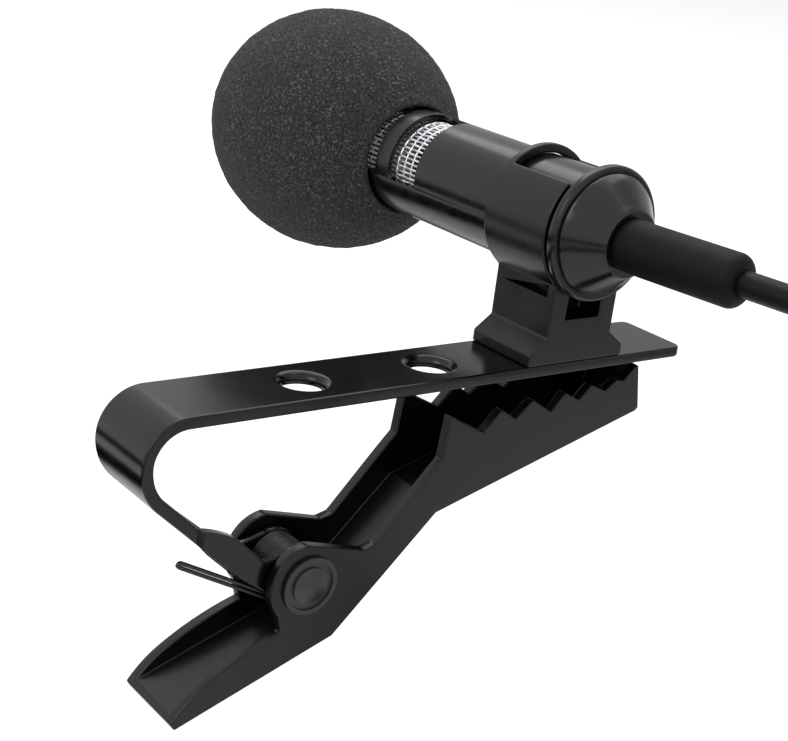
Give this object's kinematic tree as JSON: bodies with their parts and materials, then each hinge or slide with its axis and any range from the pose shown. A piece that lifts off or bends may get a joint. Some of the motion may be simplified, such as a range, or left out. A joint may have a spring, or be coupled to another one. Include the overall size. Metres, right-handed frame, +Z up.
{
  "type": "lavalier microphone",
  "caption": "Clip-on lapel microphone in a sprung, toothed garment clip, with an oval foam windscreen, a slotted barrel, a strain relief and a thin coiled lead.",
  "frame": {"origin": "on the underside of the clip's top plate, halfway across it, below the microphone's axis: the face that bears on the garment", "axes": "+X along the plate towards its free tip, +Y along the microphone from its lead to its foam, +Z up from the plate to the microphone"},
  "size_m": [0.051, 0.0818, 0.1267],
  "materials": {
    "black_strip": "gloss",
    "black_jaw": "gloss",
    "black_pin": "gloss",
    "spring_wire": "satin",
    "holder_plastic": "satin",
    "barrel_metal": "satin",
    "cone_plastic": "gloss",
    "mesh_steel": "satin",
    "capsule_metal": "satin",
    "capsule_plastic": "matte",
    "capsule_film": "gloss",
    "board_resin": "satin",
    "lead_red": "satin",
    "lead_white": "satin",
    "relief_rubber": "matte",
    "cable_jacket": "satin",
    "tie_strap": "matte",
    "plug_housing": "satin",
    "plug_contact": "polished",
    "plug_insulator": "satin",
    "foam": "matte"
  },
  "bodies": {
    "clip": {"spring_strip": "black_strip", "mic_holder": "holder_plastic", "holder_rivet": "black_pin", "torsion_spring": "spring_wire"},
    "jaw": {"lower_jaw": "black_jaw", "pivot_pin": "black_pin"},
    "lead": {"strain_relief": "relief_rubber", "cable_lead": "cable_jacket", "cable_coil": "cable_jacket", "coil_tie": "tie_strap", "cable_tail": "cable_jacket", "plug_boot": "relief_rubber", "plug_shell": "plug_housing", "plug_sleeve": "plug_contact", "insulator_rear": "plug_insulator", "plug_ring_rear": "plug_contact", "insulator_middle": "plug_insulator", "plug_ring_front": "plug_contact", "insulator_front": "plug_insulator", "plug_tip": "plug_contact"},
    "microphone": {"mic_barrel": "barrel_metal", "rear_ring": "barrel_metal", "rear_cone": "cone_plastic", "mesh_sleeve": "mesh_steel", "front_grille": "mesh_steel", "capsule_can": "capsule_metal", "diaphragm_ring": "capsule_metal", "capsule_diaphragm": "capsule_film", "diaphragm_spacer": "capsule_plastic", "capsule_backplate": "capsule_metal", "backplate_cup": "capsule_plastic", "capsule_board": "board_resin", "capsule_holder": "capsule_plastic", "signal_lead": "lead_red", "ground_lead": "lead_white"},
    "windscreen": {"foam_windscreen": "foam"}
  },
  "joints": [
    {"name": "jaw_pivot", "type": "hinge", "parent": "clip", "child": "jaw", "pos_m": [-0.0221, 0, -0.01302], "axis": [0, 1, 0], "range_deg": [0, 40], "stiffness_Nm_per_rad": 0.1, "springref_deg": -34.38, "deforming": ["torsion_spring"]},
    {"name": "mic_slide", "type": "slide", "parent": "clip", "child": "lead", "axis": [0, 1, 0], "range_m": [-0.013, 0]},
    {"name": "mic_turn", "type": "hinge", "parent": "lead", "child": "microphone", "pos_m": [0, 0, 0.01084], "axis": [0, 1, 0], "range_deg": [-180, 180]},
    {"name": "windscreen_pull", "type": "slide", "parent": "microphone", "child": "windscreen", "axis": [0, 1, 0], "range_m": [0, 0.01]}
  ]
}
